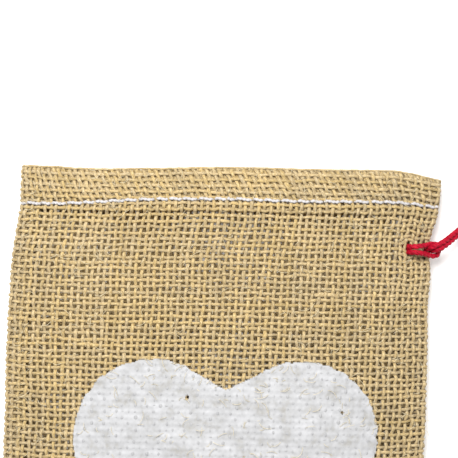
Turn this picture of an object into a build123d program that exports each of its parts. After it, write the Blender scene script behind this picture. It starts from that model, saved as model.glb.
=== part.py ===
"""Jute gift sack with a printed heart and a red tie cord hitched to its side seam.

The sack lies on its back, empty, with its mouth towards +Y and its printed face up.
Origin: middle of the sack's footprint, on the surface that it lies on. Millimetres.
"""

from build123d import *
import math
import os

# Driving dimensions of the sack
sack_width = 100.0
sack_length = 140.0
cloth = 1.3  # one layer of the woven jute
fold_radius = 1.8  # outside radius of the fold along the bottom
crown_gain = 9.9  # how far the printed face stands above the bottom fold
mouth_drop = 0.8  # how much flatter the sack gets towards its mouth
edge_gain = 3.0  # how far the side seams stand above the bottom fold
edge_layer = 1.6  # from the seam line to the outside of either layer
mouth_lift = 1.05  # how far the stiff hem holds the back off the surface
rest_dip = 0.12  # how much the back's underside flattens where it rests

# Hem: one turning of cloth inside the mouth, sewn down with white thread
stitch_drop = 7.7  # from the top edge down to the line of stitches
hem_drop = 10.2  # from the top edge down to the turning's raw edge
thread_radius = 0.3
thread_gap = 0.05  # between a stitch and the cloth under it
stitch_length = 2.5
stitch_pitch = 3.3

# Where the printed face flexes as the mouth opens, and the play along that line
flex_x = 38.0
flex_play = 0.3

# Side seams: the two layers' allowances lie together inside the sack
allowance_inner_x = 42.3
allowance_outer_x = 47.4
allowance_thickness = 1.0
seam_thread_radius = 0.25

# Printed heart: two round lobes whose sides run down to a point
heart_centre = (2.6, 5.7)
lobe_radius = 18.5
lobe_spread = 17.65
cleft_height = 11.3
heart_depth = 46.0
paint = 0.15
paint_clearance = 0.03

# Tie cord and the hitch that holds it to the right-hand seam
cord_radius = 0.6
hitch = (43.3, 52.4)
strand_offset = 0.65  # each strand's distance from the hitch's middle, in the hole
joining_height = 5.8  # where the strands in front of the seam meet those behind it
inner_eye_x = 50.75
outer_eye_x = 52.05  # the tie's free ends swing about this strand
coil_centre = (74.6, 53.7)
coil_outer_radius = 8.5
coil_inner_radius = 4.1
coil_height = 2.5
knot_radius = 1.6
knot_spacing = 3.5

half_width = sack_width / 2
top_y = sack_length / 2
fold_y = -top_y + fold_radius
panel_length = top_y - fold_y
full_length_stations = (0, 0.06, 0.15, 0.3, 0.5, 0.75, 0.93, 1)


# The two faces of the sack

def station(y):
    """A height along the sack as a share of the way from the bottom fold to the mouth."""
    return (y - fold_y) / panel_length


def swell(t):
    return 1 - (1 - t) ** 3.5


def edge_height(t):
    return fold_radius + edge_gain * swell(t)


def front_height(x, t):
    """Top of the printed face above the surface: flat in the middle, falling to the seams."""
    crown = 2 * fold_radius + crown_gain * swell(t) - mouth_drop * t**4
    edge = edge_height(t) + edge_layer
    return edge + (crown - edge) * (1 - (abs(x) / half_width) ** 4)


def back_height(x, t):
    """Underside of the back above the surface: resting in the middle, rising to the seams."""
    rise = (abs(x) / half_width) ** 6
    return (edge_height(t) - edge_layer) * rise + (mouth_lift * t**6 - rest_dip) * (1 - rise)


def offset_point(x, t, height, depth):
    """A point of a face, moved by depth towards the inside of the sack."""
    step = 1e-4
    slope = (height(x + step, t) - height(x - step, t)) / (2 * step)
    inward = 1 if height is back_height else -1
    length = math.hypot(slope, 1)
    y = fold_y + t * panel_length
    return Vector(x - inward * depth * slope / length, y, height(x, t) + inward * depth / length)


def cloth_band(across, along, height, outer_depth, inner_depth):
    """A layer that follows a face of the sack, between two depths below its outside."""
    sections = []
    for t in along:
        outer = Spline(*[offset_point(x, t, height, outer_depth) for x in across])
        inner = Spline(*[offset_point(x, t, height, inner_depth) for x in across])
        left = Line(outer @ 0, inner @ 0)
        right = Line(outer @ 1, inner @ 1)
        sections.append(make_face([outer, right, inner, left]))
    return loft(sections)


def spaced(low, high, count):
    return [low + (high - low) * i / (count - 1) for i in range(count)]


def mirrored(values):
    return [-v for v in reversed(values)]


margin_stations_x = [flex_x + flex_play / 2, 40.5, 43, 45.5, 48, half_width]
back_edge_x = [42, 45, 48, half_width]
middle_x = spaced(-flex_x + flex_play / 2, flex_x - flex_play / 2, 9)


def cord_hole():
    """The slot that the doubled cord is threaded through, in every layer."""
    slot = SlotOverall(2 * (strand_offset + cord_radius) + 1.0, 2 * cord_radius + 1.0, rotation=90)
    return Pos(hitch[0], hitch[1], -1) * extrude(slot, 20)


def make_front_panel():
    lowest = station(fold_y + 2 * flex_play)
    return cloth_band(middle_x, (lowest, *full_length_stations[1:]), front_height, 0, cloth)


def make_front_margin(side):
    across = margin_stations_x if side > 0 else mirrored(margin_stations_x)
    margin = cloth_band(across, full_length_stations, front_height, 0, cloth)
    return margin - cord_hole() if side > 0 else margin


def make_back_panel():
    across = [*mirrored(back_edge_x), *spaced(-36, 36, 7), *back_edge_x]
    panel = cloth_band(across, full_length_stations, back_height, 0, cloth) - cord_hole()
    above_rest = Pos(0, 0, sack_width / 2) * Box(2 * sack_width, 2 * sack_length, sack_width)
    return panel & above_rest


def make_bottom_fold():
    """The half-round turn where the printed face's cloth becomes the back's."""
    length = 2 * flex_x - flex_play
    tube = Cylinder(fold_radius, length) - Cylinder(fold_radius - cloth, length)
    half = tube & Pos(0, -fold_radius, 0) * Box(2 * fold_radius, 2 * fold_radius, length)
    return Pos(0, fold_y, fold_radius) * Rot(0, 90, 0) * half


# Turnings, seams and thread

def make_hem_turning(across, height):
    return cloth_band(
        across, (station(top_y - hem_drop), 0.965, 0.997), height, cloth + 0.05, 2 * cloth + 0.05
    )


def make_side_hem_turnings():
    across = [flex_x + flex_play / 2, 40, 42]
    return Compound([
        make_hem_turning(mirrored(across), front_height),
        make_hem_turning(across, front_height),
    ])


def allowance_middle(x, t):
    inside_front = offset_point(x, t, front_height, cloth).Z
    inside_back = offset_point(x, t, back_height, cloth).Z
    return (inside_front + inside_back) / 2


def make_seam_allowance(side):
    half = allowance_thickness / 2
    sections = []
    for t in (0.1, 0.2, 0.35, 0.6, 0.85, 0.985):
        y = fold_y + t * panel_length
        corners = []
        for x, up in (
            (allowance_inner_x, half), (allowance_outer_x, half),
            (allowance_outer_x, -half), (allowance_inner_x, -half),
        ):
            corners.append((side * x, y, allowance_middle(allowance_outer_x, t) + up))
        sections.append(make_face(Polyline(*corners, close=True)))
    strip = loft(sections)
    return strip - cord_hole() if side > 0 else strip


def thread_dash(centre, direction, radius, length):
    return Plane(origin=centre, z_dir=direction) * Cylinder(radius, length)


def make_seam_stitching(side):
    """The seam's white thread, lying along the allowance near its raw edge."""
    x = allowance_inner_x + 0.8
    dashes = []
    y = fold_y + 0.12 * panel_length
    while y < hitch[1] - 4:
        t = station(y)
        z = allowance_middle(allowance_outer_x, t) + allowance_thickness / 2 + seam_thread_radius + thread_gap
        ahead = allowance_middle(allowance_outer_x, station(y + 1)) - allowance_middle(allowance_outer_x, t)
        dashes.append(thread_dash((side * x, y, z), (0, 1, ahead), seam_thread_radius, 2.2))
        y += 3.0
    return Compound(dashes)


def make_hem_stitching(height, lowest_x, highest_x):
    """Stitches of white thread along the hem, on the outside of one face, mirrored left and right."""
    t = station(top_y - stitch_drop)
    depth = -thread_radius - thread_gap
    half = stitch_length / 2
    dashes = []
    x = lowest_x + stitch_pitch / 2
    while x + half <= highest_x:
        for side in (-1, 1):
            low = offset_point(side * x - half, t, height, depth)
            high = offset_point(side * x + half, t, height, depth)
            centre = offset_point(side * x, t, height, depth)
            dashes.append(thread_dash(centre, high - low, thread_radius, stitch_length))
        x += stitch_pitch
    return Compound(dashes)


# The printed heart

def heart_outline():
    """Right half, then left: lobe arc from the cleft round to the side, then a long arc to the point."""
    cleft = Vector(0, cleft_height)
    point = Vector(0, -heart_depth)
    side_angle = math.radians(-28)
    halves = []
    for side in (1, -1):
        centre = Vector(side * lobe_spread, 0)
        reach = cleft - centre
        turn = math.acos(lobe_radius / reach.length) if reach.length > lobe_radius else 0
        start_angle = math.atan2(reach.Y, side * reach.X) - turn
        shoulder = centre + Vector(side * math.cos(start_angle), math.sin(start_angle)) * lobe_radius
        side_point = centre + Vector(side * math.cos(side_angle), math.sin(side_angle)) * lobe_radius
        top = centre + Vector(0, lobe_radius)
        heading = Vector(-side * math.sin(-side_angle), -math.cos(side_angle))
        halves += [
            Line(cleft, shoulder),
            ThreePointArc(shoulder, top, centre + Vector(side * lobe_radius, 0)),
            ThreePointArc(
                centre + Vector(side * lobe_radius, 0),
                centre + Vector(side * math.cos(side_angle / 2), math.sin(side_angle / 2)) * lobe_radius,
                side_point,
            ),
            TangentArc(side_point, point, tangent=heading),
        ]
    return halves


def make_heart_print():
    prism = Pos(*heart_centre, 0) * extrude(make_face(heart_outline()), 20)
    coat = cloth_band(
        middle_x, (0.1, 0.2, 0.35, 0.55, 0.75, 0.9), front_height, -paint_clearance - paint, -paint_clearance
    )
    return prism & coat


# The tie cord

def cord_tube(points, radii):
    """A cord along straight runs joined by tangent arcs."""
    path = FilletPolyline(*points, radius=radii)
    profile = Plane(origin=path @ 0, z_dir=path % 0) * Circle(cord_radius)
    return sweep(profile, path=path)


def bend_radii(points):
    """The largest arcs that the runs allow, printed so that a tight one shows."""
    corners = [Vector(*p) for p in points]
    radii = []
    for before, corner, after in zip(corners, corners[1:], corners[2:]):
        turn = math.radians((corner - before).get_angle(after - corner))
        shorter = min((corner - before).length, (after - corner).length)
        radii.append(0.45 * shorter / math.tan(turn / 2))
    print("bend radii", [round(r, 1) for r in radii])
    return radii


def make_tie_bight():
    """The doubled middle of the cord, out of the hole, over the seam and round past the edge."""
    x, y = hitch
    upper = [
        (x, y + strand_offset, joining_height), (x + 0.1, y + strand_offset, 9.9),
        (45.3, y + 0.8, 11.3), (48.4, y + 1.4, 9.4), (51.2, y + 1.75, 7.2), (54.0, y + 1.75, 6.0),
    ]
    lower = [(px, 2 * y - py, pz) for px, py, pz in reversed(upper)]
    points = upper + lower
    return cord_tube(points, bend_radii(points))


def make_tie_back_strand(side, eye_x):
    """One strand behind the seam, from the hole round the edge and up through the bight."""
    x, y = hitch
    at = y + side * strand_offset
    points = [
        (x, at, joining_height), (x, at, 0.8), (eye_x - 2.0, at, 0.8),
        (eye_x, y + side * 0.1, 2.7), (eye_x, y, 6.5),
    ]
    return cord_tube(points, bend_radii(points))


inner_end_route = [
    (inner_eye_x, 52.4, 6.85), (51.6, 53.1, 9.6), (53.9, 55.2, 8.9), (56.9, 57.9, 5.3),
    (60.5, 60.2, 2.0), (64.6, 61.3, 0.6), (68.6, 61.4, 0.6),
]
outer_end_route = [
    (outer_eye_x, 52.4, 6.85), (53.0, 52.8, 9.1), (55.2, 54.5, 7.6), (58.2, 57.0, 4.4),
    (61.4, 59.3, 2.6), (64.6, 60.9, 1.95), (67.5, 61.35, 1.85),
]


def make_tie_end(route):
    """One free end, from the eye over the bight, down to the surface and along to the coil."""
    return cord_tube(route, bend_radii(route))


def make_tie_coil():
    """The outer shape of the two ends' turns, wound together and laid on the surface."""
    ring = Cylinder(coil_outer_radius, coil_height) - Cylinder(coil_inner_radius, coil_height)
    return Pos(*coil_centre, coil_height / 2) * fillet(ring.edges(), 0.6)


def make_tie_end_knots():
    """An overhand knot at each end of the cord, lying inside the coil."""
    x, y = coil_centre
    knot = Sphere(knot_radius)
    return Compound([Pos(x + side * knot_spacing / 2, y, knot_radius) * knot for side in (-1, 1)])


margin_hem_x = flex_x + flex_play / 2
pieces = {
    "front_panel": make_front_panel(),
    "front_left_margin": make_front_margin(-1),
    "front_right_margin": make_front_margin(1),
    "back_panel": make_back_panel(),
    "bottom_fold": make_bottom_fold(),
    "front_hem_turning": make_hem_turning(middle_x, front_height),
    "side_hem_turnings": make_side_hem_turnings(),
    "back_hem_turning": make_hem_turning(spaced(-42, 42, 9), back_height),
    "left_seam_allowance": make_seam_allowance(-1),
    "right_seam_allowance": make_seam_allowance(1),
    "left_seam_stitching": make_seam_stitching(-1),
    "right_seam_stitching": make_seam_stitching(1),
    "front_hem_stitching": make_hem_stitching(front_height, 0, flex_x - flex_play),
    "side_hem_stitching": make_hem_stitching(front_height, margin_hem_x, half_width - 1.5),
    "back_hem_stitching": make_hem_stitching(back_height, 0, half_width - 2),
    "heart_print": make_heart_print(),
    "tie_bight": make_tie_bight(),
    "tie_back_strand_upper": make_tie_back_strand(1, inner_eye_x),
    "tie_back_strand_lower": make_tie_back_strand(-1, outer_eye_x),
    "tie_end_upper": make_tie_end(inner_end_route),
    "tie_end_lower": make_tie_end(outer_end_route),
    "tie_coil": make_tie_coil(),
    "tie_end_knots": make_tie_end_knots(),
}

os.makedirs("parts", exist_ok=True)
for name, shape in pieces.items():
    export_step(shape, f"parts/{name}.step")
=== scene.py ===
import math

import bpy
import numpy as np
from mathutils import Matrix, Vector


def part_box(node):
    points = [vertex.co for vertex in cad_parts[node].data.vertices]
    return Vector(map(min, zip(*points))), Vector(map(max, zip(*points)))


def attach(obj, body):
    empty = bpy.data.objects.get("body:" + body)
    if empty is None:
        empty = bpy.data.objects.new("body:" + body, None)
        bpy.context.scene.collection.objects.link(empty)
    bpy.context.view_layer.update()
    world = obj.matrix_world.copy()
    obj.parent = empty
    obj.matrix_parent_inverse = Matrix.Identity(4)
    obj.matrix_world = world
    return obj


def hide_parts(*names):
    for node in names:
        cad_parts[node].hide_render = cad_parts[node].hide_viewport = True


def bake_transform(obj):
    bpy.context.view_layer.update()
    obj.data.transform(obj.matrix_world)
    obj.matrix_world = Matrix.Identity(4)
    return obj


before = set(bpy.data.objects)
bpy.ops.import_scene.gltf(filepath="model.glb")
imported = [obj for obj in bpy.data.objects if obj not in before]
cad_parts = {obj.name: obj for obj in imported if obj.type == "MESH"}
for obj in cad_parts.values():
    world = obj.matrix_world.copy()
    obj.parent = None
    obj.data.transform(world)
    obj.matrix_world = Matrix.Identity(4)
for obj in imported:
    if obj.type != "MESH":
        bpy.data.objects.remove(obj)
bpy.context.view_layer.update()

MM = 0.001


def placed(name, data):
    thing = bpy.data.objects.new(name, data)
    bpy.context.scene.collection.objects.link(thing)
    return thing


# The sack lies on its back on a pale table and is looked at from straight above its mouth.
# The camera is turned a little, as the sack lies a little askew.
printed_face_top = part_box("front_panel")[1].z
camera_height = 301 * MM
camera_turn = math.radians(2.3)
camera_data = bpy.data.cameras.new("camera")
camera_data.lens = 100
camera_data.sensor_width = 36
camera = placed("camera", camera_data)
camera.location = (1.2 * MM, 55.5 * MM, printed_face_top + camera_height)
camera.rotation_euler = (0, 0, camera_turn)
bpy.context.scene.camera = camera

bpy.context.scene.view_settings.view_transform = "Standard"
world = bpy.data.worlds.new("studio")
world.use_nodes = True
sky = world.node_tree.nodes["Background"]
sky.inputs["Color"].default_value = (1, 1, 1, 1)
sky.inputs["Strength"].default_value = 0.44
bpy.context.scene.world = world


def soft_light(name, place, size, power):
    lamp = bpy.data.lights.new(name, "AREA")
    lamp.size = size
    lamp.energy = power
    light = placed(name, lamp)
    light.location = place
    aim = Vector((0, 40 * MM, 0)) - light.location
    light.rotation_euler = aim.to_track_quat("-Z", "Y").to_euler()


soft_light("window_light", (-0.06, 0.18, 0.36), 0.15, 1.95)
soft_light("fill_light", (0.5, 0.3, 0.8), 0.6, 1.8)

table_half = 4
table_corners = [(x * table_half, y * table_half, 0) for x, y in ((-1, -1), (1, -1), (1, 1), (-1, 1))]
table_mesh = bpy.data.meshes.new("table")
table_mesh.from_pydata(table_corners, [], [(0, 1, 2, 3)])
table_paint = bpy.data.materials.new("white_table")
table_paint.use_nodes = True
table_shader = table_paint.node_tree.nodes["Principled BSDF"]
table_shader.inputs["Base Color"].default_value = (0.97, 0.97, 0.97, 1)
table_shader.inputs["Roughness"].default_value = 0.6
table_shader.inputs["Emission Color"].default_value = (1, 1, 1, 1)
table_shader.inputs["Emission Strength"].default_value = 0.14
table_mesh.materials.append(table_paint)
table = placed("table", table_mesh)


# Tie cord: three plies of red yarn twisted together, doubled and hitched through a hole
# beside the right-hand seam. Its two free ends come up through the bight and lie on the table.

def add_node(tree, kind, inputs=None, **settings):
    """Adds a node; an input is either another node's output or a plain value."""
    made = tree.nodes.new(kind)
    for key, value in settings.items():
        setattr(made, key, value)
    for key, value in (inputs or {}).items():
        if isinstance(value, bpy.types.NodeSocket):
            tree.links.new(value, made.inputs[key])
        else:
            made.inputs[key].default_value = value
    return made


def reckon(tree, operation, *values):
    """The output of a Math node."""
    return add_node(tree, "ShaderNodeMath", dict(enumerate(values)), operation=operation).outputs[0]


def new_tree(name, numbers):
    """A Geometry Nodes tree with a geometry input, one named input for each size, and its ends."""
    tree = bpy.data.node_groups.new(name, "GeometryNodeTree")
    tree.interface.new_socket("Geometry", in_out="INPUT", socket_type="NodeSocketGeometry")
    tree.interface.new_socket("Material", in_out="INPUT", socket_type="NodeSocketMaterial")
    for key, value in numbers.items():
        kind = "NodeSocketInt" if isinstance(value, int) else "NodeSocketFloat"
        tree.interface.new_socket(key, in_out="INPUT", socket_type=kind).default_value = value
    tree.interface.new_socket("Geometry", in_out="OUTPUT", socket_type="NodeSocketGeometry")
    return tree, tree.nodes.new("NodeGroupInput").outputs, tree.nodes.new("NodeGroupOutput")


def close_tree(tree, shape, material, end):
    """Every tree ends in real geometry that carries its material."""
    real = add_node(tree, "GeometryNodeRealizeInstances", {"Geometry": shape})
    smooth = add_node(tree, "GeometryNodeSetShadeSmooth", {0: real.outputs[0]})
    painted = add_node(tree, "GeometryNodeSetMaterial", {"Geometry": smooth.outputs[0], "Material": material})
    tree.links.new(painted.outputs[0], end.inputs[0])


def plain_mesh(holder):
    """The mesh that the holder's curve or modifiers come to. The holder itself is removed."""
    seen = holder.evaluated_get(bpy.context.evaluated_depsgraph_get())
    mesh = bpy.data.meshes.new_from_object(seen)
    bpy.data.objects.remove(holder)
    return mesh


def made_by(tree, name, start_mesh, material, **sizes):
    """Runs a tree on a mesh and keeps the result as a plain mesh piece."""
    holder = placed(name, start_mesh)
    modifier = holder.modifiers.new("build", "NODES")
    modifier.node_group = tree
    for socket in tree.interface.items_tree:
        if socket.in_out == "INPUT" and socket.name in sizes:
            modifier[socket.identifier] = sizes[socket.name]
        if socket.in_out == "INPUT" and socket.name == "Material":
            modifier[socket.identifier] = material
    mesh = plain_mesh(holder)
    mesh.name = name
    return placed(name, mesh)


def ringed_circle(tree, sides):
    """A yarn's section, a unit circle whose points remember where round the yarn they are."""
    circle = add_node(tree, "GeometryNodeCurvePrimitiveCircle", {"Resolution": sides, "Radius": 1.0})
    here = tree.nodes.new("GeometryNodeInputPosition").outputs[0]
    ring = add_node(tree, "GeometryNodeStoreNamedAttribute",
                    {"Geometry": circle.outputs[0], "Name": "ring", "Value": here}, data_type="FLOAT_VECTOR")
    return ring.outputs[0]


def make_twisted_cord_tree():
    tree, given, end = new_tree("twisted_cord", {
        "Diameter": 1.36 * MM, "Lay": 4.2 * MM, "Step": 0.26 * MM, "Plies": 3.0, "Groove": 0.32,
    })
    line = add_node(tree, "GeometryNodeMeshToCurve", {"Mesh": given["Geometry"]})
    even = add_node(tree, "GeometryNodeResampleCurve", {"Curve": line.outputs[0], "Length": given["Step"]},
                    mode="LENGTH")
    length = tree.nodes.new("GeometryNodeSplineParameter").outputs["Length"]
    turn = reckon(tree, "MULTIPLY", reckon(tree, "DIVIDE", length, given["Lay"]), math.tau)
    twisted = add_node(tree, "GeometryNodeSetCurveTilt", {"Curve": even.outputs[0], "Tilt": turn})
    kept = add_node(tree, "GeometryNodeStoreNamedAttribute",
                    {"Geometry": twisted.outputs[0], "Name": "along", "Value": length}, data_type="FLOAT")
    factor = tree.nodes.new("GeometryNodeSplineParameter").outputs["Factor"]
    around = reckon(tree, "MULTIPLY", factor, math.tau)
    lobes = reckon(tree, "ABSOLUTE", reckon(tree, "SINE", reckon(
        tree, "MULTIPLY", around, reckon(tree, "MULTIPLY", given["Plies"], 0.5))))
    reach = reckon(tree, "ADD", reckon(tree, "SUBTRACT", 1.0, given["Groove"]),
                   reckon(tree, "MULTIPLY", lobes, given["Groove"]))
    radius = reckon(tree, "MULTIPLY", reach, reckon(tree, "MULTIPLY", given["Diameter"], 0.5))
    here = tree.nodes.new("GeometryNodeInputPosition").outputs[0]
    scaled = add_node(tree, "ShaderNodeVectorMath", {0: here, "Scale": radius}, operation="SCALE")
    section = add_node(tree, "GeometryNodeSetPosition",
                       {"Geometry": ringed_circle(tree, 18), "Position": scaled.outputs[0]})
    tube = add_node(tree, "GeometryNodeCurveToMesh",
                    {"Curve": kept.outputs[0], "Profile Curve": section.outputs[0], "Fill Caps": True})
    close_tree(tree, tube.outputs[0], given["Material"], end)
    return tree


def attribute(tree, name, output="Fac"):
    return add_node(tree, "ShaderNodeAttribute", attribute_name=name).outputs[output]


def new_finish(name, colour, roughness):
    """A material whose plain colour stands where its pattern can't be shown."""
    material = bpy.data.materials.new(name)
    material.use_nodes = True
    tree = material.node_tree
    shader = tree.nodes["Principled BSDF"]
    shader.inputs["Base Color"].default_value = (*colour, 1)
    shader.inputs["Roughness"].default_value = roughness
    return material, tree, shader


def fibre_pattern(tree, turns_per_mm, fineness, stretch):
    """Streaks that wind round a yarn as its fibres do, from the yarn's own ring and length."""
    along = reckon(tree, "DIVIDE", attribute(tree, "along"), MM)
    turned = add_node(tree, "ShaderNodeVectorRotate", {
        "Vector": attribute(tree, "ring", "Vector"),
        "Angle": reckon(tree, "MULTIPLY", along, turns_per_mm * math.tau),
    }, rotation_type="Z_AXIS")
    flat = add_node(tree, "ShaderNodeSeparateXYZ", {0: turned.outputs[0]})
    place = add_node(tree, "ShaderNodeCombineXYZ", {
        0: flat.outputs[0], 1: flat.outputs[1],
        2: reckon(tree, "ADD", reckon(tree, "MULTIPLY", along, stretch),
                  reckon(tree, "MULTIPLY", attribute(tree, "shade"), 40.0)),
    })
    noise = add_node(tree, "ShaderNodeTexNoise",
                     {"Vector": place.outputs[0], "Scale": fineness, "Detail": 3.0, "Roughness": 0.6})
    return noise.outputs["Fac"]


def ramp(tree, factor, stops):
    made = add_node(tree, "ShaderNodeValToRGB", {"Fac": factor})
    elements = made.color_ramp.elements
    while len(elements) < len(stops):
        elements.new(0.5)
    for element, (position, colour) in zip(elements, stops):
        element.position = position
        element.color = (*colour, 1)
    return made.outputs["Color"]


cord_red = (0.46, 0.001, 0.02)
red_cord_finish, red_tree, red_shader = new_finish("red_cord", cord_red, 0.6)
red_fibres = fibre_pattern(red_tree, 0, 4.0, 0.5)
red_tree.links.new(
    ramp(red_tree, red_fibres, [(0.34, (0.07, 0.0, 0.003)), (0.5, cord_red), (0.7, (0.62, 0.006, 0.035))]),
    red_shader.inputs["Base Color"])
red_bump = add_node(red_tree, "ShaderNodeBump",
                    {"Height": red_fibres, "Strength": 0.8, "Distance": 0.15 * MM})
red_tree.links.new(red_bump.outputs[0], red_shader.inputs["Normal"])
red_shader.inputs["Specular IOR Level"].default_value = 0.2

twisted_cord = make_twisted_cord_tree()
hitch_y = 52.4

inner_end_route = [
    (49.0, 52.5, 6.85), (49.7, 53.0, 9.9), (52.6, 54.3, 9.4), (56.3, 57.0, 5.5),
    (60.5, 60.2, 2.0), (64.6, 61.3, 0.72), (68.6, 61.4, 0.72),
]
outer_end_route = [
    (50.3, 52.3, 6.85), (51.1, 52.3, 9.5), (53.4, 53.5, 8.3), (57.2, 56.6, 4.7),
    (61.4, 59.3, 2.6), (64.6, 60.9, 1.95), (67.5, 61.35, 1.85),
]
upper_bight_route = [
    (44.2, hitch_y + 0.62, 5.8), (44.3, hitch_y + 0.62, 10.3), (46.1, hitch_y + 0.7, 11.4),
    (48.4, hitch_y + 1.0, 9.3), (50.4, hitch_y + 1.55, 7.4), (52.0, hitch_y + 1.2, 6.9),
]


def back_strand_route(side, eye_x):
    at = hitch_y + side * 0.65
    return [
        (44.2, at, 5.8), (44.2, at, 0.8), (eye_x - 2.0, at, 0.8),
        (eye_x, hitch_y + side * 0.1, 2.7), (eye_x, hitch_y, 6.85),
    ]


coil_low, coil_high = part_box("tie_coil")
coil_middle = (coil_low + coil_high) / 2 / MM
knot_reach = 1.75
knot_height = 1.5
turn_step = 1.25  # how far each turn lies inside the one before it, in millimetres


def coil_turns(height, turns):
    """Points of one end's turns, wound inwards on its own layer, and then its last part turn, which
    closes in on its knot in the middle of the coil."""
    per_turn = 16
    outer = 7.85
    last_part = 0.75
    points = []
    for i in range(1, int((turns + last_part) * per_turn) + 1):
        wound = i / per_turn
        closing = max(0, wound - turns) / last_part
        angle = math.radians(90) - math.tau * wound
        reach = (outer - turn_step * wound) * (1 - closing) + knot_reach * closing
        points.append((
            coil_middle.x + reach * math.cos(angle), coil_middle.y + reach * math.sin(angle),
            height + (knot_height - height) * closing))
    return points


def smooth_line(name, route):
    """The points along one smooth curve that has the route's points as its controls, in metres."""
    curve = bpy.data.curves.new(name, "CURVE")
    curve.dimensions = "3D"
    curve.resolution_u = 12
    spline = curve.splines.new("NURBS")
    spline.points.add(len(route) - 1)
    for point, place in zip(spline.points, route):
        point.co = (*(c * MM for c in place), 1)
    spline.order_u = 3
    spline.use_endpoint_u = True
    line = plain_mesh(placed(name, curve))
    return line, [tuple(v.co) for v in line.vertices]


def twisted_piece(name, route, body, replaced):
    line, places = smooth_line(name + "_line", route)
    piece = made_by(twisted_cord, name, line, red_cord_finish)
    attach(piece, body)
    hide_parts(*replaced)
    return piece, places


lower_bight_route = [(x, 2 * hitch_y - y, z) for x, y, z in reversed(upper_bight_route)]
twisted_piece("tie_bight_cord", upper_bight_route + lower_bight_route, "sack", ["tie_bight"])
twisted_piece("tie_back_cord_upper", back_strand_route(1, 49.0), "sack", ["tie_back_strand_upper"])
twisted_piece("tie_back_cord_lower", back_strand_route(-1, 50.3), "sack", ["tie_back_strand_lower"])

inner_end, inner_places = twisted_piece(
    "tie_end_cord_inner", inner_end_route + coil_turns(0.72, 2), "tie", ["tie_end_upper", "tie_coil"])
outer_end, outer_places = twisted_piece(
    "tie_end_cord_outer", outer_end_route + coil_turns(1.85, 2.5), "tie", ["tie_end_lower", "tie_coil"])

# Each free end is finished with a small overhand knot, pulled tight, so that it can't fray.

def knot_route(x):
    points = []
    for i in range(15):
        angle = -0.4 + i / 14 * (math.tau - 0.5)
        points.append((
            x + 0.42 * (math.sin(angle) + 2 * math.sin(2 * angle)),
            coil_middle.y + 0.42 * (math.cos(angle) - 2 * math.cos(2 * angle)),
            knot_height + 0.1 - 0.5 * math.sin(3 * angle)))
    return points


for side, x in (("left", -knot_reach), ("right", knot_reach)):
    line, places = smooth_line("knot_line", knot_route(coil_middle.x + x))
    knot = made_by(twisted_cord, "tie_knot_" + side, line, red_cord_finish, Diameter=1.1 * MM)
    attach(knot, "tie")
    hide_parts("tie_end_knots")


# Sack cloth: a light, open plain weave of jute, the front and the back cut alike, joined along the
# bottom fold and down both sides, with the seams' allowances and the hem turned to the inside.

half_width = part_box("back_panel")[1].x / MM
top_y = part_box("front_panel")[1].y / MM
fold_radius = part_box("bottom_fold")[1].z / MM / 2
fold_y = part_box("bottom_fold")[0].y / MM + fold_radius
face_top = printed_face_top / MM
layer = 1.1  # one layer of cloth, in millimetres
seam_turn = layer / 2
left_allowance = 3.6
right_allowance = 6.2
hem_depth = 10.2
hem_rise = 1.1  # how far the hem's second layer lifts the outer one
hem_lean = math.tan(math.radians(27))
half_pitch = 0.7  # how far a turned-in layer's yarns lie beside the outer layer's
stitch_drop = 7.7


def ease(value):
    """0 below 0, 1 above 1, and smooth between."""
    value = np.clip(value, 0, 1)
    return value * value * (3 - 2 * value)


def ripples(x, y, size, seed):
    """A smooth unevenness from about -1 to 1, whose waves are about size long."""
    waves = np.random.default_rng(seed)
    total = 0
    for _ in range(8):
        heading, phase = waves.uniform(0, math.tau, 2)
        length = size * waves.uniform(0.8, 2.0)
        total = total + np.sin((x * math.cos(heading) + y * math.sin(heading)) * math.tau / length + phase)
    return total / 4


def stitch_line(x):
    """The hem's stitching isn't quite parallel to the mouth."""
    return top_y - stitch_drop + 0.35 - 1.5 * ease((-x - 14) / 34) + 0.12 * ripples(x, 0 * x, 26, 8)


def seam_height(t):
    return 2.4 + 2.6 * (1 - (1 - t) ** 3.5)


def face_height(x, y, face):
    """Height of the middle of the cloth, for the printed face or the back."""
    t = np.clip((y - fold_y) / (top_y - fold_y), 0, 1)
    across = np.clip(np.abs(x) / half_width, 0, 1)
    seam = seam_height(t)
    hitch_pinch = np.exp(-((y - hitch_y) / 4.5) ** 2) * ease((x - 40) / 6)
    if face == "front":
        crown = 2 * fold_radius + (face_top - 2 * fold_radius) * (1 - (1 - t) ** 3.5) - 0.8 * t**4
        edge = seam + 1.5 * layer
        height = edge + (crown - layer / 2 - edge) * (1 - across**4)
        height = height + 0.35 * ripples(x, y, 17, 3) * (1 - across**6) * ease(t / 0.2)
        stitch_y = stitch_line(x)
        hem = ease((y - top_y + hem_depth + 0.3) / 0.9)
        height = height + hem_rise * hem * (1 - across**4)
        height = height - 0.45 * np.exp(-((y - stitch_y) / 0.9) ** 2)
        height = height + 0.3 * np.exp(-((y - stitch_y - 4) / 2.6) ** 2)
        return height - 0.9 * hitch_pinch
    edge = seam - 1.5 * layer
    lift = 0.9 * t**6 * (1 - across**6)
    rest = layer / 2 + 0.22
    uneven = 0.12 * (1 + ripples(x, y, 21, 5)) * (1 - across**6) * ease(t / 0.2)
    return rest + (edge - rest) * across**6 + lift + uneven + 0.5 * hitch_pinch


hole_x = 44.2


def open_hole(x, y):
    """The yarns are pushed aside where the doubled cord goes through."""
    from_x, from_y = x - hole_x, y - hitch_y
    spread_y = 1.6 * np.exp(-(from_x / 1.5) ** 2)
    spread_x = 0.6 * np.exp(-(from_y / 2.2) ** 2)
    pushed_x = np.where(from_x < 0, -1, 1) * np.sqrt(from_x**2 + spread_x**2)
    pushed_y = np.where(from_y < 0, -1, 1) * np.sqrt(from_y**2 + spread_y**2)
    return hole_x + pushed_x, hitch_y + pushed_y


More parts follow.
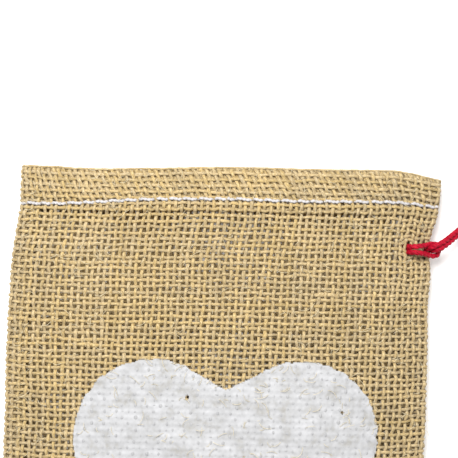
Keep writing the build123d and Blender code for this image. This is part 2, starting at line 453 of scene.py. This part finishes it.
def slant_hem(x, y):
    """The stitching has dragged the hem sideways, so that its yarns lean."""
    above = np.clip(y - (top_y - stitch_drop - 0.5), 0, None)
    return x - hem_lean * above * (1 - np.clip(np.abs(x) / half_width, 0, 1) ** 6)


def settle(x, y):
    """How the cut cloth has shifted from square: a lean, a waist below the hitch, a dropped corner, a dip
    in the mouth left of the middle, and the pull of the hitch."""
    shift_x = 0.012 * y + 1.4 * ease((y - 44) / 20) - 0.6 + 0.019 * x
    shift_y = 0.0227 * x * ease((y + 60) / 80)
    shift_x = shift_x - 0.6 * ease((y - 46) / 12) * ease(x / 40)
    shift_x = shift_x - 0.8 * np.exp(-((y - 38) / 7) ** 2) * ease((x - 36) / 12) + 0.25 * ease((20 - y) / 30)
    near_mouth = np.exp(-np.clip(top_y - y, 0, None) / 12)
    shift_y = shift_y - 2.0 * ease((x - 38) / 14) * near_mouth
    shift_y = shift_y - 0.85 * np.exp(-((x + 30) / 17) ** 2) * near_mouth
    shift_y = shift_y + 0.25 * ripples(x, y, 40, 11)
    shift_x = shift_x + 0.25 * ripples(x, y, 30, 12)
    shift_x = shift_x - 1.3 * ease((x - 36) / 14) * np.exp(-((y - hitch_y) / 6) ** 2)
    return x + shift_x, y + shift_y


def turned_edge(distance, limit, radius):
    """Where a strip of cloth lies that runs up to an edge, half round it, and back inside.
    Gives the place towards the edge and the depth below the outer layer."""
    start = limit - radius
    angle = np.clip((distance - start) / radius, 0, math.pi)
    past = np.clip(distance - start - math.pi * radius, 0, None)
    place = np.where(distance < start, distance, start + radius * np.sin(angle) - past)
    return place, radius * (1 - np.cos(angle))


fold_arc = math.pi / 2 * fold_radius * 0.8
left_end = -(half_width - seam_turn + math.pi * seam_turn + left_allowance)
right_end = half_width - seam_turn + math.pi * seam_turn + right_allowance
cut_length = fold_arc + (top_y - seam_turn - fold_y) + math.pi * seam_turn + hem_depth - seam_turn
# How far up the cut the cloth turns over at the mouth.
mouth_line = fold_arc + top_y - fold_y - seam_turn + math.pi / 2 * seam_turn


def cloth_point(u, v, face):
    """Place of a point of the cut cloth: u across from the middle, v up from the bottom fold."""
    side = np.where(u < 0, -1, 1)
    x, depth_x = turned_edge(np.abs(u), half_width, seam_turn)
    x = x * side
    y, depth_y = turned_edge(v - fold_arc + fold_y, top_y, seam_turn)
    x = x + half_pitch * ease(depth_y / seam_turn - 1) * (1 - np.clip(np.abs(x) / half_width, 0, 1) ** 8)
    y = y - half_pitch * ease(depth_x / seam_turn - 1)
    y = np.maximum(y, fold_y)
    depth = depth_x + depth_y
    hem_x = slant_hem(x, y)
    moved_x, moved_y = open_hole(hem_x, y)
    step = 0.05

    def slope(step_x, step_y):
        ahead = face_height(moved_x + step_x, moved_y + step_y, face)
        behind = face_height(moved_x - step_x, moved_y - step_y, face)
        return (ahead - behind) / (2 * step)

    height = face_height(moved_x, moved_y, face)
    slope_x, slope_y = slope(step, 0), slope(0, step)
    size = np.sqrt(slope_x**2 + slope_y**2 + 1)
    inward = 1 if face == "back" else -1
    px = moved_x - inward * slope_x / size * depth
    py = moved_y - inward * slope_y / size * depth
    pz = height + inward / size * depth
    fold_turn = np.clip(v / fold_arc, 0, 1) * math.pi / 2
    middle = (face_height(x, fold_y, "front") + face_height(x, fold_y, "back")) / 2
    on_fold = v < fold_arc
    pz = np.where(on_fold, middle + (pz - middle) * np.sin(fold_turn), pz)
    py = np.where(on_fold, fold_y - (fold_radius - layer / 2) * np.cos(fold_turn), py)
    px, py = settle(px, py)
    return px, py, pz


def stations(*spans):
    """Lines of a grid, closer together where the cloth turns tightly."""
    lines = [np.arange(start, end, step) for start, end, step in spans]
    return np.concatenate([*lines, [spans[-1][1]]])


edge_lines = half_width - 2.0
across_lines = stations(
    (left_end, -half_width - 1.3, 0.7), (-half_width - 1.3, -edge_lines, 0.13), (-edge_lines, 39, 1.0),
    (39, 46.8, 0.3), (46.8, edge_lines, 0.4), (edge_lines, half_width + 1.3, 0.13),
    (half_width + 1.3, right_end, 0.7))
hem_line = fold_arc + top_y - hem_depth - fold_y
hitch_line = fold_arc + hitch_y - fold_y
along_lines = stations(
    (0, fold_arc, 0.18), (fold_arc, hitch_line - 5, 1.0), (hitch_line - 5, hitch_line + 5, 0.3),
    (hitch_line + 5, hem_line + 9.5, 0.45), (hem_line + 9.5, hem_line + 12, 0.12),
    (hem_line + 12, cut_length, 0.7))


def grid_faces(rows, columns):
    corner = np.arange(rows * columns).reshape(rows, columns)
    return np.stack([corner[:-1, :-1], corner[:-1, 1:], corner[1:, 1:], corner[1:, :-1]], -1).reshape(-1, 4)


def cut_sheet(face):
    """The whole cut piece, laid in its place. Its attributes are each point's place on the flat cut, and
    how near the rim of the mouth it is."""
    u, v = np.meshgrid(across_lines, along_lines)
    x, y, z = cloth_point(u, v, face)
    quads = grid_faces(*u.shape)
    if face == "back":
        quads = quads[:, ::-1]
    mesh = bpy.data.meshes.new(face + "_sheet")
    points = np.stack([x, y, z], -1).reshape(-1, 3) * MM
    mesh.from_pydata(points.tolist(), [], quads.tolist())
    share = np.stack([(u - left_end) / (right_end - left_end), v / cut_length, 0 * u], -1)
    cut = mesh.attributes.new("cut", "FLOAT_VECTOR", "POINT")
    cut.data.foreach_set("vector", share.astype(np.float32).ravel())
    nearness = np.exp(-((v - mouth_line) / 0.8) ** 2)
    rim = mesh.attributes.new("rim", "FLOAT", "POINT")
    rim.data.foreach_set("value", nearness.astype(np.float32).ravel())
    mesh.shade_smooth()
    return mesh


def stored(tree, name, kind="FLOAT"):
    return add_node(tree, "GeometryNodeInputNamedAttribute", {"Name": name}, data_type=kind).outputs[0]


def make_weave_tree():
    """Yarns side by side over a sheet, each waving over and under the yarns that cross it."""
    tree, given, end = new_tree("weave", {
        "Yarns": 10, "First Yarn": 0, "All Yarns": 75, "Crossings": 105, "Points": 100,
        "From": 0.0, "To": 1.0, "Warp": 1, "Parity": 0.0, "Seed": 1.0, "Length": 0.1,
        "Wave": 0.27 * MM, "Half Width": 0.42 * MM, "Flatness": 0.68, "Sides": 6,
    })
    line = add_node(tree, "GeometryNodeCurvePrimitiveLine", {"Start": (0, 0, 0), "End": (0, 1, 0)})
    even = add_node(tree, "GeometryNodeResampleCurve", {"Curve": line.outputs[0], "Count": given["Points"]},
                    mode="COUNT")
    row = add_node(tree, "GeometryNodeMeshLine", {"Count": given["Yarns"], "Offset": (1, 0, 0)})
    laid = add_node(tree, "GeometryNodeInstanceOnPoints",
                    {"Points": row.outputs[0], "Instance": even.outputs[0]})
    real = add_node(tree, "GeometryNodeRealizeInstances", {"Geometry": laid.outputs[0]})

    yarn = reckon(tree, "ADD", tree.nodes.new("GeometryNodeCurveOfPoint").outputs["Curve Index"],
                  given["First Yarn"])
    share = add_node(tree, "GeometryNodeStoreNamedAttribute", {
        "Geometry": real.outputs[0], "Name": "share",
        "Value": tree.nodes.new("GeometryNodeSplineParameter").outputs["Factor"],
    }, data_type="FLOAT")
    span = reckon(tree, "SUBTRACT", given["To"], given["From"])
    along = reckon(tree, "ADD", given["From"], reckon(tree, "MULTIPLY", stored(tree, "share"), span))
    metres = reckon(tree, "MULTIPLY", along, given["Length"])

    def noise(frequency, offset):
        """From -0.5 to 0.5, changing along the yarn, and different on each yarn."""
        place = add_node(tree, "ShaderNodeCombineXYZ", {
            0: reckon(tree, "MULTIPLY", metres, frequency),
            1: reckon(tree, "MULTIPLY", yarn, 7.31),
            2: reckon(tree, "ADD", given["Seed"], offset),
        })
        made = add_node(tree, "ShaderNodeTexNoise",
                        {"Vector": place.outputs[0], "Scale": 1.0, "Detail": 2.0, "Roughness": 0.6})
        return reckon(tree, "SUBTRACT", made.outputs["Fac"], 0.5)

    wander = reckon(tree, "MULTIPLY", noise(180, 3.7), 0.95)
    across = reckon(tree, "DIVIDE", reckon(tree, "ADD", reckon(tree, "ADD", yarn, 0.5), wander),
                    given["All Yarns"])
    across = reckon(tree, "MINIMUM", reckon(tree, "MAXIMUM", across, 0.0005), 0.9995)
    on_warp = add_node(tree, "ShaderNodeCombineXYZ", {0: across, 1: along})
    on_weft = add_node(tree, "ShaderNodeCombineXYZ", {0: along, 1: across})
    place = add_node(tree, "ShaderNodeMix", {
        0: reckon(tree, "MULTIPLY", given["Warp"], 1.0), 4: on_weft.outputs[0], 5: on_warp.outputs[0],
    }, data_type="VECTOR")

    def sampled(value, kind="FLOAT_VECTOR"):
        """What the sheet has at the yarn's place on the cut."""
        return add_node(tree, "GeometryNodeSampleUVSurface", {
            "Mesh": given["Geometry"], "Value": value, "Sample UV": place.outputs[1],
            "Source UV Map": stored(tree, "cut", "FLOAT_VECTOR"),
        }, data_type=kind).outputs[0]

    spot = sampled(tree.nodes.new("GeometryNodeInputPosition").outputs[0])
    normal = sampled(tree.nodes.new("GeometryNodeInputNormal").outputs[0])
    phase = reckon(tree, "MULTIPLY", math.pi, reckon(tree, "ADD", reckon(
        tree, "SUBTRACT", reckon(tree, "MULTIPLY", along, given["Crossings"]), 0.5),
        reckon(tree, "ADD", yarn, given["Parity"])))
    rim = sampled(stored(tree, "rim"), "FLOAT")
    # At the mouth's rim a weft yarn lies outermost and the warp turns back inside it.
    outermost = reckon(tree, "SUBTRACT", 0.8, reckon(tree, "MULTIPLY", given["Warp"], 1.6))
    woven_lift = reckon(tree, "MULTIPLY", reckon(tree, "COSINE", phase), reckon(tree, "SUBTRACT", 1.0, rim))
    lift = reckon(tree, "MULTIPLY", given["Wave"],
                  reckon(tree, "ADD", woven_lift, reckon(tree, "MULTIPLY", rim, outermost)))
    lift = reckon(tree, "ADD", lift, reckon(tree, "MULTIPLY", noise(90, 9.1), 0.12 * MM))
    shift = add_node(tree, "ShaderNodeVectorMath", {0: normal, "Scale": lift}, operation="SCALE")
    total = add_node(tree, "ShaderNodeVectorMath", {0: spot, 1: shift.outputs[0]}, operation="ADD")
    moved = add_node(tree, "GeometryNodeSetPosition",
                     {"Geometry": share.outputs[0], "Position": total.outputs[0]})

    slub = reckon(tree, "MULTIPLY", reckon(tree, "MAXIMUM", reckon(
        tree, "SUBTRACT", noise(70, 21.3), 0.13), 0.0), 3.2)
    unevenness = reckon(tree, "MULTIPLY", noise(330, 15.9), 0.85)
    girth = reckon(tree, "ADD", reckon(tree, "ADD", 1.0, slub), unevenness)
    radius = reckon(tree, "MULTIPLY", girth, given["Half Width"])
    sized = add_node(tree, "GeometryNodeSetCurveRadius", {"Curve": moved.outputs[0], "Radius": radius})
    facing = add_node(tree, "GeometryNodeSetCurveNormal",
                      {"Curve": sized.outputs[0], "Normal": normal}, mode="FREE")

    shade = add_node(tree, "FunctionNodeRandomValue", {
        "ID": reckon(tree, "ADD", yarn, reckon(tree, "MULTIPLY", given["Seed"], 100.0)),
    }, data_type="FLOAT")
    shape = facing.outputs[0]
    for name, value, kind in (
        ("along", metres, "FLOAT"), ("shade", shade.outputs[1], "FLOAT"),
        ("place", place.outputs[1], "FLOAT_VECTOR"),
    ):
        shape = add_node(tree, "GeometryNodeStoreNamedAttribute", {
            "Geometry": shape, "Name": name, "Value": value,
        }, data_type=kind).outputs[0]
    flat_scale = add_node(tree, "ShaderNodeCombineXYZ", {0: given["Flatness"], 1: 1.0, 2: 1.0})
    flat = add_node(tree, "GeometryNodeTransform",
                    {"Geometry": ringed_circle(tree, given["Sides"]), "Scale": flat_scale.outputs[0]})
    tube = add_node(tree, "GeometryNodeCurveToMesh", {
        "Curve": shape, "Profile Curve": flat.outputs[0], "Fill Caps": True,
        "Scale": tree.nodes.new("GeometryNodeInputRadius").outputs[0],
    })
    close_tree(tree, tube.outputs[0], given["Material"], end)
    return tree


straw = (0.56, 0.42, 0.215)
jute_finish, jute_tree, jute_shader = new_finish("jute_yarn", straw, 0.82)
jute_fibres = fibre_pattern(jute_tree, 0.12, 4.6, 0.3)
jute_colour = ramp(jute_tree, jute_fibres, [
    (0.3, (0.17, 0.105, 0.035)), (0.43, (0.44, 0.31, 0.13)),
    (0.56, (0.61, 0.465, 0.235)), (0.7, (0.76, 0.635, 0.4))])
jute_patch = add_node(jute_tree, "ShaderNodeTexNoise", {
    "Vector": attribute(jute_tree, "place", "Vector"), "Scale": 14.0, "Detail": 2.0})
jute_fleck = add_node(jute_tree, "ShaderNodeTexNoise", {
    "Vector": attribute(jute_tree, "place", "Vector"), "Scale": 130.0, "Detail": 2.0})
jute_value = reckon(jute_tree, "ADD", 0.46, reckon(
    jute_tree, "ADD", reckon(jute_tree, "MULTIPLY", attribute(jute_tree, "shade"), 0.16), reckon(
        jute_tree, "ADD", reckon(jute_tree, "MULTIPLY", jute_patch.outputs["Fac"], 0.35),
        reckon(jute_tree, "MULTIPLY", jute_fleck.outputs["Fac"], 0.55))))
jute_richness = reckon(jute_tree, "ADD", 0.92, reckon(
    jute_tree, "MULTIPLY", reckon(jute_tree, "FRACT", reckon(
        jute_tree, "MULTIPLY", attribute(jute_tree, "shade"), 7.0)), 0.16))
jute_tinted = add_node(jute_tree, "ShaderNodeHueSaturation", {
    "Color": jute_colour, "Value": jute_value, "Saturation": jute_richness})
ring_height = add_node(jute_tree, "ShaderNodeSeparateXYZ", {0: attribute(jute_tree, "ring", "Vector")})
# Paint reaches the yarns' upper sides only, and its lower edge is ragged along the fibres.
ragged_height = reckon(jute_tree, "ADD", ring_height.outputs[0],
                       reckon(jute_tree, "MULTIPLY", jute_fibres, 0.5))
upper_side = add_node(jute_tree, "ShaderNodeMapRange",
                      {"Value": ragged_height, "From Min": -0.35, "From Max": 0.15})
paint_cover = reckon(jute_tree, "MULTIPLY", attribute(jute_tree, "paint"), upper_side.outputs[0])
heart_white = (0.44, 0.44, 0.445)
jute_painted = add_node(jute_tree, "ShaderNodeMix", {
    0: paint_cover, 6: jute_tinted.outputs[0], 7: (*heart_white, 1)}, data_type="RGBA")
jute_tree.links.new(jute_painted.outputs[2], jute_shader.inputs["Base Color"])
jute_bump = add_node(jute_tree, "ShaderNodeBump",
                     {"Height": jute_fibres, "Strength": 0.9, "Distance": 0.2 * MM})
jute_tree.links.new(jute_bump.outputs[0], jute_shader.inputs["Normal"])
jute_shader.inputs["Sheen Weight"].default_value = 0.15

weave = make_weave_tree()
warp_pitch = 1.48
weft_pitch = 1.43
warp_count = round((right_end - left_end) / warp_pitch)
weft_count = round(cut_length / weft_pitch)
middle_share = -left_end / (right_end - left_end)
steps_per_crossing = 4
warp_half_width = 0.44
weft_half_width = 0.39
# The back's yarns are drawn fuller, so that less of the table shows through the cloth.
fullness = {"front": 1.0, "back": 1.34}


# Printed heart: one thick coat of white screen paint, which lies on the yarns' upper sides and fills
# most of the holes between them. It has two round lobes, and its sides run down to a point.

heart_x, heart_y = 2.6, 5.7
lobe_radius, lobe_spread, cleft_height, heart_depth = 18.5, 17.65, 11.3, 46.0
side_angle = math.radians(-28)
side_point = (lobe_spread + lobe_radius * math.cos(side_angle), lobe_radius * math.sin(side_angle))
to_tip = (side_point[0], side_point[1] + heart_depth)
inward_side = (-math.cos(side_angle), -math.sin(side_angle))
side_radius = -(to_tip[0]**2 + to_tip[1]**2) / 2 / (to_tip[0] * inward_side[0] + to_tip[1] * inward_side[1])
to_lobe = math.hypot(lobe_spread, cleft_height)
cleft_slope = math.asin(lobe_radius / to_lobe) - math.atan2(cleft_height, lobe_spread)
cleft_reach = math.sqrt(to_lobe**2 - lobe_radius**2) * math.cos(cleft_slope)
side_centre = (side_point[0] + side_radius * inward_side[0], side_point[1] + side_radius * inward_side[1])


def inside_heart(u, y):
    """How far inside the outline a place on the flat cloth is, in millimetres, and negative outside."""
    dx, dy = 1.015 * np.abs(u - heart_x), y - heart_y
    lobe = lobe_radius - np.hypot(dx - lobe_spread, dy)
    body = side_radius - np.hypot(dx - side_centre[0], dy - side_centre[1])
    body = np.where(dy < side_point[1], body, -1)
    chest = (cleft_height - dy) * math.cos(cleft_slope) + dx * math.sin(cleft_slope)
    chest = np.where((dy >= side_point[1]) & (dx < cleft_reach), chest, -1)
    return np.maximum(np.maximum(lobe, body), chest)


def bare_spots(u, y):
    """True in the few small places that the paint has missed."""
    draws = np.random.default_rng(17)
    bare = np.zeros(np.shape(u), bool)
    for _ in range(14):
        spot_x, spot_y = heart_x + draws.uniform(-32, 32), heart_y + draws.uniform(-38, 17)
        wide, tall = draws.uniform(0.25, 0.6, 2)
        bare |= np.hypot((u - spot_x) / wide, (y - spot_y) / tall) < 1
    return bare


def coat(u, y):
    """How far inside the print's own ragged edge a place is, in millimetres."""
    ragged = inside_heart(u, y) + 0.16 * ripples(u, y, 1.7, 21) + 0.16 * ripples(u, y, 4, 22)
    return np.where(bare_spots(u, y), -1, ragged)


def paint_yarns(piece, warp):
    """Marks the yarns that the print covers, with the ragged edge that a coarse cloth gives it."""
    mesh = piece.data
    place = np.zeros(len(mesh.vertices) * 3, np.float32)
    mesh.attributes["place"].data.foreach_get("vector", place)
    place = place.reshape(-1, 3)
    ring = np.zeros(len(mesh.vertices) * 3, np.float32)
    mesh.attributes["ring"].data.foreach_get("vector", ring)
    off_centre = 0.42 * ring.reshape(-1, 3)[:, 1]
    u = left_end + place[:, 0] * (right_end - left_end) + (off_centre if warp else 0)
    y = place[:, 1] * cut_length - fold_arc + fold_y - (0 if warp else off_centre)
    paint = mesh.attributes.new("paint", "FLOAT", "POINT")
    paint.data.foreach_set("value", ease(coat(u, y) / 0.15).astype(np.float32))


def woven(name, sheet, face, warp, first, last, parity, seed):
    """One set of yarns of one half of a face, first and last being shares of the cut's width."""
    along_count = weft_count if warp else warp_count
    if warp:
        low, high = round(first * warp_count), round(last * warp_count)
        ends = (0.0, 1.0)
    else:
        low, high = 0, weft_count
        ends = (first, last)
    points = round((ends[1] - ends[0]) * along_count * steps_per_crossing) + 1
    piece = made_by(weave, name, sheet, jute_finish, **{
        "Yarns": high - low, "First Yarn": low, "All Yarns": warp_count if warp else weft_count,
        "Crossings": along_count, "Points": points, "From": ends[0], "To": ends[1], "Warp": int(warp),
        "Parity": float(parity), "Seed": float(seed),
        "Length": (cut_length if warp else right_end - left_end) * MM,
        "Half Width": (warp_half_width if warp else weft_half_width) * fullness[face] * MM,
        "Wave": (0.29 if warp else 0.24) * MM,
    })
    if face == "front":
        paint_yarns(piece, warp)
    return piece


front_sheet = cut_sheet("front")
back_sheet = cut_sheet("back")
halves = {"left": (0.0, middle_share, -1), "right": (middle_share, 1.0, 1)}
for face, sheet in (("front", front_sheet), ("back", back_sheet)):
    for half, (first, last, side) in halves.items():
        for warp in (True, False):
            name = f"{face}_{'warp' if warp else 'weft'}_{half}"
            seed = len(name) + (5 if face == "back" else 0)
            piece = woven(name, sheet, face, warp, first, last, 0 if warp else 1, seed)
            if face == "front":
                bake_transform(piece)
            else:
                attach(piece, "sack")
            if name == "front_warp_left":
                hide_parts("front_panel", "front_left_margin", "front_hem_turning", "side_hem_turnings")
            if name == "front_warp_right":
                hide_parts("front_right_margin")
            if name == "back_warp_left":
                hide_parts("back_panel", "bottom_fold", "back_hem_turning", "left_seam_allowance")
            if name == "back_warp_right":
                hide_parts("right_seam_allowance")

paint_finish, paint_tree, paint_shader = new_finish("heart_paint", heart_white, 0.7)
paint_place = add_node(paint_tree, "ShaderNodeTexCoord").outputs["Object"]
paint_wear = add_node(paint_tree, "ShaderNodeTexNoise", {
    "Vector": paint_place, "Scale": 260.0, "Detail": 3.0, "Roughness": 0.65})
paint_tree.links.new(ramp(paint_tree, paint_wear.outputs["Fac"], [
    (0.3, (0.36, 0.35, 0.33)), (0.46, heart_white), (0.7, (0.53, 0.53, 0.54)),
]), paint_shader.inputs["Base Color"])
paint_bump = add_node(paint_tree, "ShaderNodeBump", {
    "Height": paint_wear.outputs["Fac"], "Strength": 0.5, "Distance": 0.25 * MM})
paint_tree.links.new(paint_bump.outputs[0], paint_shader.inputs["Normal"])


film_height = 0.47  # over the middle of the cloth
film_thickness = 0.12


def film(name, from_u, to_u):
    """The paint that bridges the holes of the weave, as a thin closed skin."""
    u, y = np.meshgrid(np.arange(from_u, to_u + 0.01, 0.3), np.arange(-42, 26, 0.3))
    px, py, pz = cloth_point(u, y - fold_y + fold_arc, "front")
    weft_wave = np.cos(math.pi * (y - fold_y + fold_arc) / cut_length * weft_count)
    warp_wave = np.cos(math.pi * (u - left_end) / (right_end - left_end) * warp_count)
    pz = pz + film_height - 0.14 * np.abs(weft_wave * warp_wave) ** 2 + 0.07 * ripples(u, y, 1.6, 31)
    inside = coat(u, y) > -0.05
    quads = grid_faces(*u.shape)
    quads = quads[inside.ravel()[quads].sum(1) >= 3]
    used, quads = np.unique(quads, return_inverse=True)
    mesh = bpy.data.meshes.new(name)
    points = np.stack([px, py, pz], -1).reshape(-1, 3)[used] * MM
    mesh.from_pydata(points.tolist(), [], quads.reshape(-1, 4).tolist())
    holder = placed(name, mesh)
    skin = holder.modifiers.new("skin", "SOLIDIFY")
    skin.thickness = film_thickness * MM
    solid = plain_mesh(holder)
    solid.shade_smooth()
    solid.set_sharp_from_angle(angle=math.radians(50))
    solid.materials.append(paint_finish)
    return placed(name, solid)


for half, from_u, to_u, side in (("left", -34.2, 0.0, -1), ("right", 0.0, 39.9, 1)):
    piece = film("heart_film_" + half, from_u, to_u)
    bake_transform(piece)
    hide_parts("heart_print")


# Stitching: thick white thread. A line of lockstitch holds each hem down, and another joins the two
# seam allowances inside each side; a stitch dips through both layers of cloth at each hole.

def make_stitch_tree():
    tree, given, end = new_tree("stitching", {
        "Diameter": 0.85 * MM, "Pitch": 3.5 * MM, "Dip": 1.0 * MM, "Up": 1.0,
        "Wander": 0.13 * MM, "Seed": 1.0,
    })
    line = add_node(tree, "GeometryNodeMeshToCurve", {"Mesh": given["Geometry"]})
    even = add_node(tree, "GeometryNodeResampleCurve", {"Curve": line.outputs[0], "Length": 0.16 * MM},
                    mode="LENGTH")
    length = tree.nodes.new("GeometryNodeSplineParameter").outputs["Length"]
    uneven = add_node(tree, "ShaderNodeTexNoise", {
        "Vector": add_node(tree, "ShaderNodeCombineXYZ", {
            0: reckon(tree, "MULTIPLY", length, 160.0), 1: given["Seed"]}).outputs[0], "Scale": 1.0})
    step = reckon(tree, "ADD", reckon(tree, "DIVIDE", length, given["Pitch"]),
                  reckon(tree, "MULTIPLY", uneven.outputs["Fac"], 1.1))
    wave = reckon(tree, "COSINE", reckon(tree, "MULTIPLY", step, math.tau))
    dip = reckon(tree, "POWER", reckon(tree, "MAXIMUM", wave, 0.0), 4.0)
    drop = reckon(tree, "MULTIPLY", reckon(tree, "MULTIPLY", dip, given["Dip"]),
                  reckon(tree, "MULTIPLY", given["Up"], -1.0))
    slant = reckon(tree, "MULTIPLY", reckon(tree, "SINE", reckon(tree, "MULTIPLY", step, math.tau)),
                   given["Wander"])
    shift = add_node(tree, "ShaderNodeCombineXYZ", {0: 0.0, 1: slant, 2: drop})
    moved = add_node(tree, "GeometryNodeSetPosition",
                     {"Geometry": even.outputs[0], "Offset": shift.outputs[0]})
    turned = add_node(tree, "GeometryNodeSetCurveTilt", {
        "Curve": moved.outputs[0], "Tilt": reckon(tree, "MULTIPLY", length, 3500.0)})
    kept = add_node(tree, "GeometryNodeStoreNamedAttribute",
                    {"Geometry": turned.outputs[0], "Name": "along", "Value": length}, data_type="FLOAT")
    two_plies = add_node(tree, "GeometryNodeTransform",
                         {"Geometry": ringed_circle(tree, 10), "Scale": (0.72, 1.0, 1.0)})
    tube = add_node(tree, "GeometryNodeCurveToMesh", {
        "Curve": kept.outputs[0], "Profile Curve": two_plies.outputs[0], "Fill Caps": True,
        "Scale": reckon(tree, "MULTIPLY", given["Diameter"], 0.5),
    })
    close_tree(tree, tube.outputs[0], given["Material"], end)
    return tree


thread_white = (0.53, 0.51, 0.51)
thread_finish, thread_tree, thread_shader = new_finish("white_thread", thread_white, 0.75)
thread_fibres = fibre_pattern(thread_tree, 0.3, 3.5, 0.4)
thread_tree.links.new(ramp(thread_tree, thread_fibres, [
    (0.3, (0.36, 0.33, 0.31)), (0.45, thread_white), (0.7, (0.68, 0.66, 0.66)),
]), thread_shader.inputs["Base Color"])
thread_bump = add_node(thread_tree, "ShaderNodeBump", {
    "Height": thread_fibres, "Strength": 0.6, "Distance": 0.1 * MM})
thread_tree.links.new(thread_bump.outputs[0], thread_shader.inputs["Normal"])
stitching = make_stitch_tree()


def thread_line(name, points):
    mesh = bpy.data.meshes.new(name)
    links = [(i, i + 1) for i in range(len(points) - 1)]
    mesh.from_pydata([tuple(c * MM for c in p) for p in points], links, [])
    return mesh


def hem_thread(name, from_u, to_u, face, lift, up, seed):
    """A row of stitches along a hem, lift being the height of its upper side over the cloth's middle."""
    u = np.arange(from_u, to_u + 0.01, 0.4)
    y = stitch_line(u)
    px, py, pz = cloth_point(u, y - fold_y + fold_arc, face)
    return made_by(stitching, name, thread_line(name, list(zip(px, py, pz + lift))), thread_finish,
                   Up=up, Seed=seed, Dip=1.1 * MM)


yarn_top = 0.62
for half, from_u, to_u, side in (("left", -49.6, 0.0, -1), ("right", 0.0, 49.6, 1)):
    outer = hem_thread("front_hem_thread_" + half, from_u, to_u, "front", yarn_top, 1.0, 3.0)
    inner = hem_thread("front_hem_under_thread_" + half, from_u, to_u, "front", -layer - yarn_top, -1.0, 3.0)
    for piece in (outer, inner):
        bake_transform(piece)
        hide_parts("front_hem_stitching", "side_hem_stitching")
for name, lift, up in (
        ("back_hem_thread", -yarn_top + 0.15, -1.0), ("back_hem_under_thread", layer + yarn_top, 1.0)):
    piece = hem_thread(name, -49.0, 49.0, "back", lift, up, 5.0)
    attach(piece, "sack")
    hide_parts("back_hem_stitching")

seam_inset = 2.6  # the seams' stitching lies this far inside the sack's edges
for half, side in (("left", -1), ("right", 1)):
    for name, up in (("thread", 1.0), ("under_thread", -1.0)):
        y = np.arange(fold_y + 1.5, top_y - 1.5, 0.4)
        x = np.full(len(y), side * (half_width - seam_inset))
        z = seam_height((y - fold_y) / (top_y - fold_y)) + up * 0.5
        px, py = settle(x, y)
        line = thread_line(half, list(zip(px, py, z)))
        piece = made_by(stitching, f"{half}_seam_{name}", line, thread_finish,
                        Up=up, Seed=7.0, Dip=0.5 * MM, Diameter=0.5 * MM, Wander=0.0)
        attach(piece, "sack")
        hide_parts(half + "_seam_stitching")


# Loose fibres: short ends of jute stand out of the yarns all over the printed side, as on any cloth
# of this kind. They lie close to the cloth, each a bent arc with its own length and direction.

def make_fuzz_tree():
    tree, given, end = new_tree("loose_fibres", {"Side": 1.0, "Density": 90000.0, "Thickness": 0.055 * MM})
    here = add_node(tree, "ShaderNodeSeparateXYZ",
                    {0: tree.nodes.new("GeometryNodeInputPosition").outputs[0]})
    on_side = reckon(tree, "GREATER_THAN", reckon(tree, "MULTIPLY", here.outputs[0], given["Side"]), 0.0)
    spots = add_node(tree, "GeometryNodeDistributePointsOnFaces", {
        "Mesh": given["Geometry"], "Selection": on_side, "Density": given["Density"], "Seed": 4})
    arc = add_node(tree, "GeometryNodeCurveQuadraticBezier", {
        "Resolution": 5, "Start": (0, 0, 0), "Middle": (0.5, 0.25, 0.55), "End": (1.0, -0.1, 0.25)})
    laid = add_node(tree, "GeometryNodeInstanceOnPoints",
                    {"Points": spots.outputs[0], "Instance": arc.outputs[0]})
    spin = add_node(tree, "FunctionNodeRandomValue",
                    {1: (0.35, 0.35, math.tau), 0: (-0.35, -0.35, 0), "Seed": 2}, data_type="FLOAT_VECTOR")
    size = add_node(tree, "FunctionNodeRandomValue", {2: 0.6 * MM, 3: 3.0 * MM, "Seed": 3}, data_type="FLOAT")
    spun = add_node(tree, "GeometryNodeRotateInstances",
                    {"Instances": laid.outputs[0], "Rotation": spin.outputs[0]})
    sized = add_node(tree, "GeometryNodeScaleInstances",
                     {"Instances": spun.outputs[0], "Scale": size.outputs[1]})
    raised = add_node(tree, "GeometryNodeTranslateInstances", {
        "Instances": sized.outputs[0], "Translation": (0, 0, 0.42 * MM), "Local Space": False})
    real = add_node(tree, "GeometryNodeRealizeInstances", {"Geometry": raised.outputs[0]})
    circle = add_node(tree, "GeometryNodeCurvePrimitiveCircle", {"Resolution": 3, "Radius": 1.0})
    tube = add_node(tree, "GeometryNodeCurveToMesh", {
        "Curve": real.outputs[0], "Profile Curve": circle.outputs[0], "Fill Caps": True,
        "Scale": given["Thickness"]})
    close_tree(tree, tube.outputs[0], given["Material"], end)
    return tree


fuzz_finish = new_finish("jute_fibre", (0.78, 0.68, 0.46), 0.6)[0]
fuzz = make_fuzz_tree()
for half, side in (("left", -1), ("right", 1)):
    piece = made_by(fuzz, "loose_fibres_" + half, front_sheet, fuzz_finish, Side=float(side))
    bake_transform(piece)
